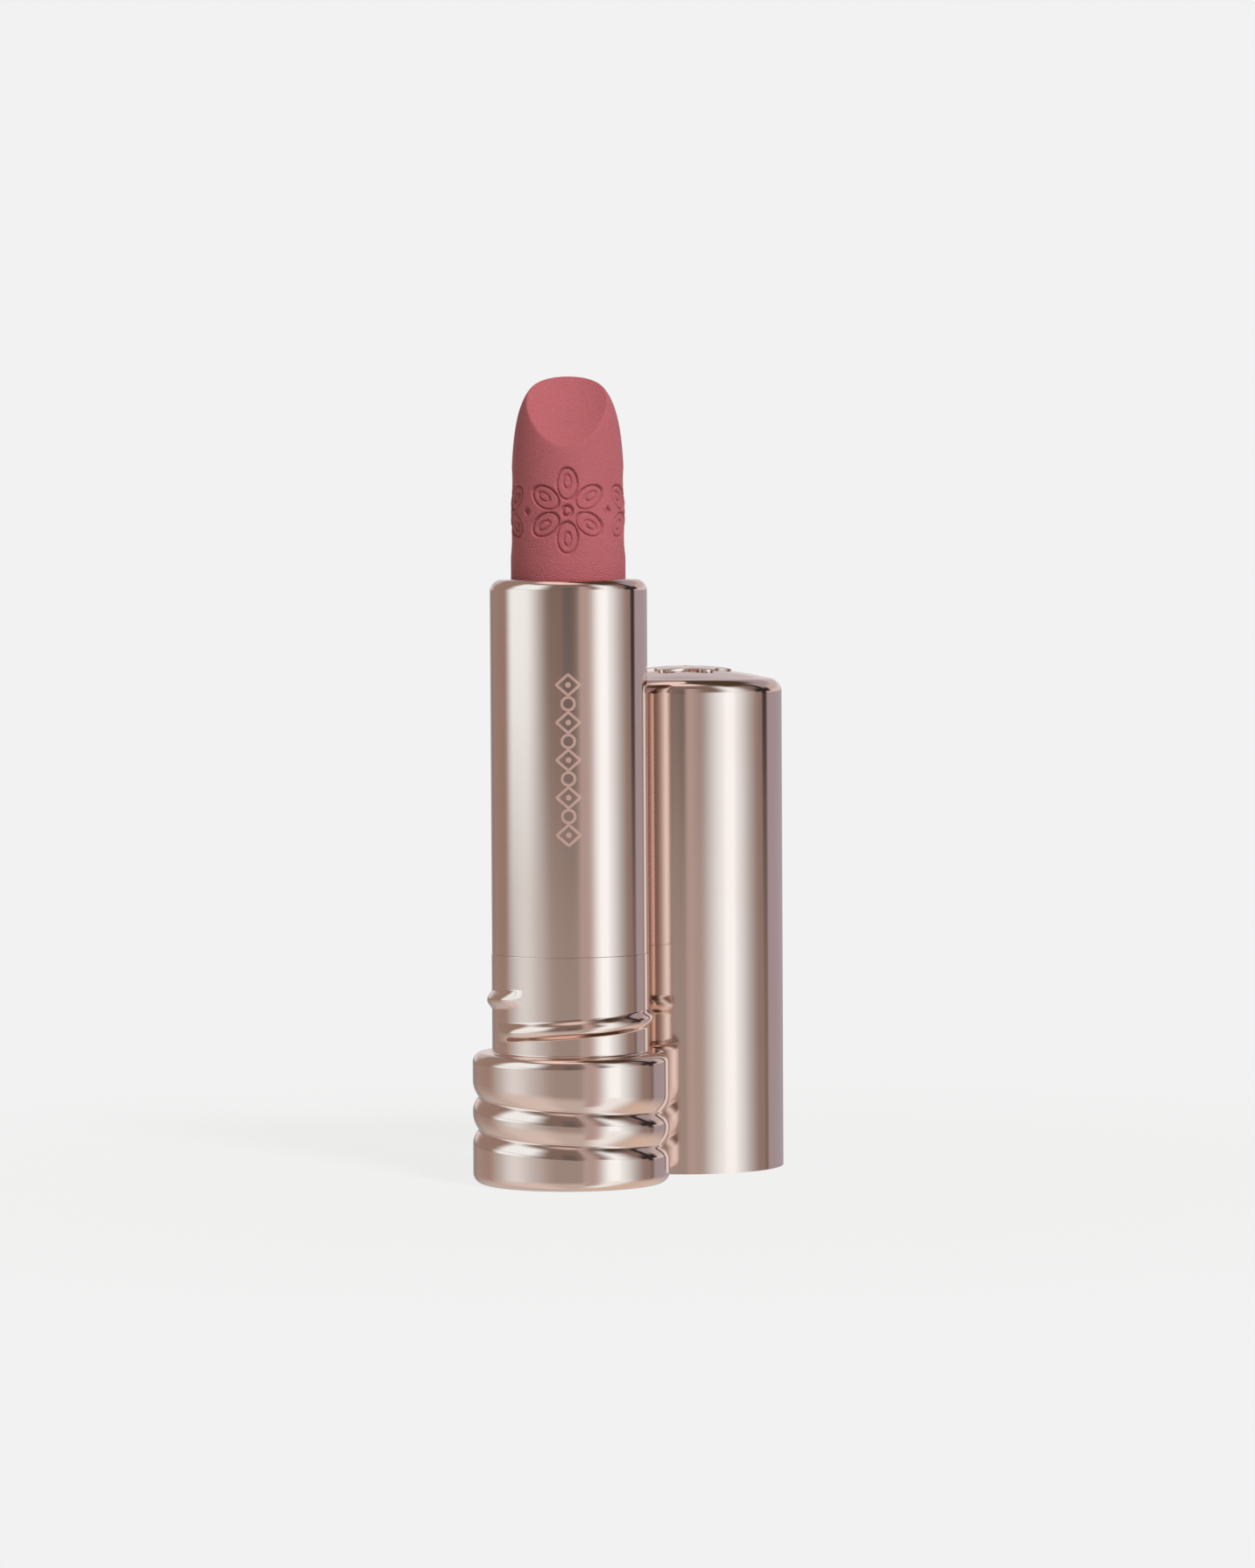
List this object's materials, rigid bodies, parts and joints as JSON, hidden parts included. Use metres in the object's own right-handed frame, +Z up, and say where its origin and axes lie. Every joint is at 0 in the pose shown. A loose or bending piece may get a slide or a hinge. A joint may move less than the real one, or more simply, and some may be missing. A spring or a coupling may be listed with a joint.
{
  "type": "lipstick",
  "caption": "Twist-up lipstick in a rose-gold metal case, bullet out: grooved base, threaded neck, turning upper tube, slant-cut bullet, and its lift-off cap beside it.",
  "frame": {"origin": "on the case's own axis, at the surface that the case and the cap stand on", "axes": "+Z up along the case's axis to the bullet's tip; -Y is the front, which the bullet's slanted cut faces; +X is the side the cap stands on"},
  "size_m": [0.0349, 0.0396, 0.0893],
  "materials": {
    "rose_gold_metal": "bright satin anodised, champagne rose gold",
    "rose_wax": "matt dusty-rose wax with a fine powdery grain",
    "white_plastic": "satin moulded acetal",
    "ivory_plastic": "satin moulded plastic",
    "plated_steel": "zinc-plated, satin",
    "black_rubber": "moulded, matt",
    "label_paper": "coated sticker, blank"
  },
  "bodies": {
    "base": {"base_shell": "rose_gold_metal", "shade_label": "label_paper", "base_weight": "plated_steel", "neck_collar": "rose_gold_metal", "inner_body": "ivory_plastic", "glide_washer": "white_plastic", "brake_ring": "black_rubber"},
    "upper_tube": {"a_shell": "rose_gold_metal", "spiral_cam": "white_plastic"},
    "carrier": {"cup": "white_plastic", "bullet": "rose_wax"},
    "cap": {"cap_shell": "rose_gold_metal", "cap_liner": "ivory_plastic", "cap_weight": "plated_steel", "cap_emblem": "rose_gold_metal"}
  },
  "joints": [
    {"name": "twist", "type": "hinge", "parent": "base", "child": "upper_tube", "pos_m": [0, 0, 0.0255], "axis": [0, 0, 1], "range_deg": [0, 720]},
    {"name": "bullet_lift", "type": "slide", "parent": "base", "child": "carrier", "axis": [0, 0, 1], "range_m": [-0.024, 0]},
    {"name": "cap_lift", "type": "slide", "parent": "base", "child": "cap", "axis": [0, 0, 1], "range_m": [0, 0.08]}
  ],
  "couplings": [
    {"joint": "bullet_lift", "follows": "twist", "m_per_rad": -0.0019099}
  ]
}
